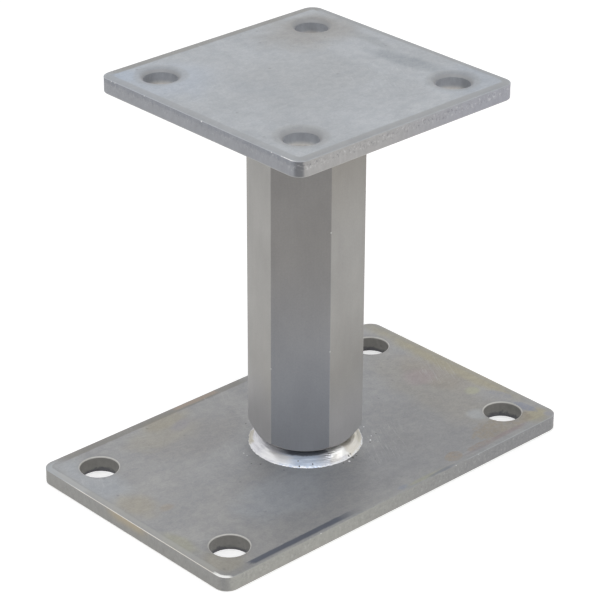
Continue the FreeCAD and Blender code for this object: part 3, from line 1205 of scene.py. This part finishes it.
def weldFinish(weld, upward):
    finish, tree, shader = newFinish(weld["name"] + "Metal")
    point = vectors("MULTIPLY", pieceSpace(tree), (1, 1 if upward else -1, 1))
    level = vectors("MULTIPLY", point, (1, 1, 0))
    radius = vectors("LENGTH", level, output=1)
    wander = unevenness(point, 2.2, 3, 0.6, shift=weld["seed"])
    ragged = plus(radius, times(wander, 0.9))

    def turnedFrom(angle):  # degrees round from a direction
        east, north = apart(turned(level, -angle))[:2]
        return times(maths("ARCTAN2", north, east), 180 / pi)

    # streaks that run along the ring, joined up behind the stud
    along = times(turnedFrom(weld["seenFrom"]), 0.05)
    ringPoint = fill(newNode("CombineXYZ", radius), {0: along, 1: radius, 2: apart(point)[2]})
    flow = clouds(ringPoint, 0.7, 3, 0.6, (1, 1, 1), weld["seed"], 0.6)
    streaks = ease(flow, 0.3, 0.7)
    colour = blend(streaks, tuple(c * 0.84 for c in weld["tone"]), weld["tone"])
    for zone in weld["zones"]:
        low, high = zone["reach"]
        inside = between(ragged, (low - 0.3, low + 0.3), (high - 0.3, high + 0.3))
        away = maths("ABSOLUTE", plus(turnedFrom(zone["at"]), times(wander, 9)))
        near = ease(away, zone["half"] - zone["soft"], zone["half"] + zone["soft"], 1, 0)
        colour = stain(colour, zone["tint"], inside, near, zone["amount"])
    colour = grain(colour, 0.45, streaks, 0.12)
    edge = ease(ragged, weld["toe"] - 0.5, weld["toe"] - 0.1, 0, 0.8)
    broken = ease(clouds(point, 1.3, 3, 0.6, shift=33), 0.42, 0.55)
    colour = stain(colour, weld["toeTone"], edge, broken)
    soot = clouds(point, 0.8, 4, 0.7, shift=weld["seed"] + 8)
    colour = stain(colour, weld["sootTone"], ease(soot, 0.66, 0.76, 0, 0.35))
    for angle, reach, size in weld["pits"]:
        away = distance(level, (*bearing(angle, reach), 0))
        colour = stain(colour, weld["pitTone"], ease(away, size * 0.7, size * 1.3, 0.85, 0))
    gloss = ease(flow, 0.3, 0.7, *weld["rough"])
    height = blendValue(0.5, flow, clouds(point, 0.35, 3, 0.6, shift=2))
    coat(shader, colour, weld["metal"], gloss, height, weld["bumpDepth"])
    return finish


lowerWeldMetal = weldFinish(lowerWeld, True)
buildBead(lowerWeld, onBase, True, "base", "lower_weld_bead", lowerWeldMetal)
buildBead(upperWeld, underHead, False, "head", "upper_weld_bead", weldFinish(upperWeld, False))


# drops of spatter that froze on the base plate round the weld: x, y and size, and a few loose ones
spatter = {
    "spots": [(0.6, -22.6, 0.42), (16.6, -17.0, 0.36), (21.6, -8.4, 0.3), (19.0, -15.0, 0.26)],
    "loose": 5,
    "looseReach": (21.2, 27),
    "looseSize": (0.1, 0.2),
    "around": 12,
    "up": 5,
    "sunk": 0.03,
    "seed": 11,
}


def buildSpatter(look, finish):
    pick = random.Random(look["seed"])
    drops = list(look["spots"])
    while len(drops) < len(look["spots"]) + look["loose"]:
        angle, away = pick.uniform(0, 2 * pi), pick.uniform(*look["looseReach"])
        drops.append((away * cos(angle), away * sin(angle), pick.uniform(*look["looseSize"])))
    verts, faces = [], []
    around, up, foot = look["around"], look["up"], onBase - look["sunk"]
    for x, y, size in drops:
        previous = None
        for row in range(up):
            lift = radians(90 * row / up)
            ring = []
            for c in range(around):
                a = 2 * pi * c / around
                lump = 1 + 0.25 * waver(x + cos(a), y + sin(a), row)
                r = size * lump * cos(lift) ** 0.7
                height = foot + size * 0.8 * sin(lift)
                ring.append(Vector((x + r * cos(a), y + r * sin(a), height)))
            if previous is None:
                previous = addRing(verts, ring)
                faces.append(tuple(reversed(range(previous, previous + around))))
            else:
                previous = nextRing(verts, faces, previous, ring)
        verts.append(Vector((x, y, foot + size * 0.8)))
        for c in range(around):
            faces.append((previous + c, previous + (c + 1) % around, len(verts) - 1))
    makePiece("weldSpatter", verts, faces, "base", None, finish, 60)


buildSpatter(spatter, lowerWeldMetal)


# floor and light, in metres
studio = {
    "floorSize": 8.0,
    "floorNearEdge": 0.2,  # the paper ends just in front of the object
    "floorTone": (0.82, 0.82, 0.82),
    "floorGlow": 0.48,
    "skyTone": (1, 1, 1),
    "skyLevel": 0.64,
    "frontShade": 0.12,
    "aim": (0, 0, 0.07),
    "lamps": [
        {"name": "overhead", "at": (0.05, 0.15, 1.0), "size": (0.9, 0.9), "power": 0.4},
        {"name": "aboveCamera", "at": (-0.42, -0.45, 0.95), "size": (0.5, 0.5), "power": 1.6},
        {"name": "farWindow", "at": (0.75, 0.8, 0.75), "size": (0.9, 0.7), "power": 0.6},
        {"name": "leftPanel", "at": (-0.9, 0.2, 0.35), "size": (0.6, 0.6), "power": 1.15},
        {"name": "rightPanel", "at": (0.35, -0.9, 0.35), "size": (0.6, 0.6), "power": 1.5},
    ],
}


def seenRays(tree):  # rays that end in the picture, not those that only light the object
    path = tree.nodes.new("ShaderNodeLightPath")
    seen = largest(path.outputs["Is Camera Ray"], path.outputs["Is Glossy Ray"])
    return largest(seen, path.outputs["Is Transmission Ray"])


def layFloor(look):
    size, nearEdge = look["floorSize"], look["floorNearEdge"]
    front, across = levelViews(cameraSpot)
    corners = [front * nearEdge - across * size, front * nearEdge + across * size]
    corners += [across * size - front * size, -across * size - front * size]
    mesh = bpy.data.meshes.new("paleFloor")
    mesh.from_pydata(corners, [], [(0, 1, 2, 3)])
    floor = addObject("paleFloor", mesh)
    paper = bpy.data.materials.new("palePaper")
    tree, surface = emptyTree(paper, "Material")
    matt = fill(tree.nodes.new("ShaderNodeBsdfDiffuse"), {"Color": look["floorTone"]})
    strength = times(seenRays(tree), look["floorGlow"])
    glow = fill(tree.nodes.new("ShaderNodeEmission"), {"Strength": strength})
    plug(surface, fill(tree.nodes.new("ShaderNodeAddShader"), {0: matt, 1: glow}))
    mesh.materials.append(paper)


def lightSky(look):  # darker low down in front, which the near sides mirror
    world = bpy.data.worlds.new("paleSky")
    bpy.context.scene.world = world
    tree, surface = emptyTree(world, "World")
    way = tree.nodes.new("ShaderNodeTexCoord").outputs["Generated"]
    front = vectors("DOT_PRODUCT", way, levelViews(cameraSpot)[0], 1)
    low = ease(apart(way)[2], 0.25, 0.7, 1, 0)
    dark = times(low, ease(front, 0.25, 0.9))
    strength = blendValue(seenRays(tree), blendValue(dark, look["skyLevel"], look["frontShade"]), 1)
    sky = tree.nodes.new("ShaderNodeBackground")
    plug(surface, fill(sky, {"Color": look["skyTone"], "Strength": strength}))


def hangLamps(look):
    for lamp in look["lamps"]:
        data = bpy.data.lights.new(lamp["name"], "AREA")
        data.shape = "RECTANGLE"
        data.size, data.size_y = lamp["size"]
        data.energy = lamp["power"]
        light = addObject(lamp["name"], data)
        light.location = lamp["at"]
        light.rotation_mode = "QUATERNION"
        light.rotation_quaternion = (Vector(look["aim"]) - light.location).to_track_quat("-Z", "Y")
        light.visible_camera = False


layFloor(studio)
lightSky(studio)
hangLamps(studio)
bpy.context.scene.view_settings.view_transform = "Standard"
print("floor, sky and lamps set")
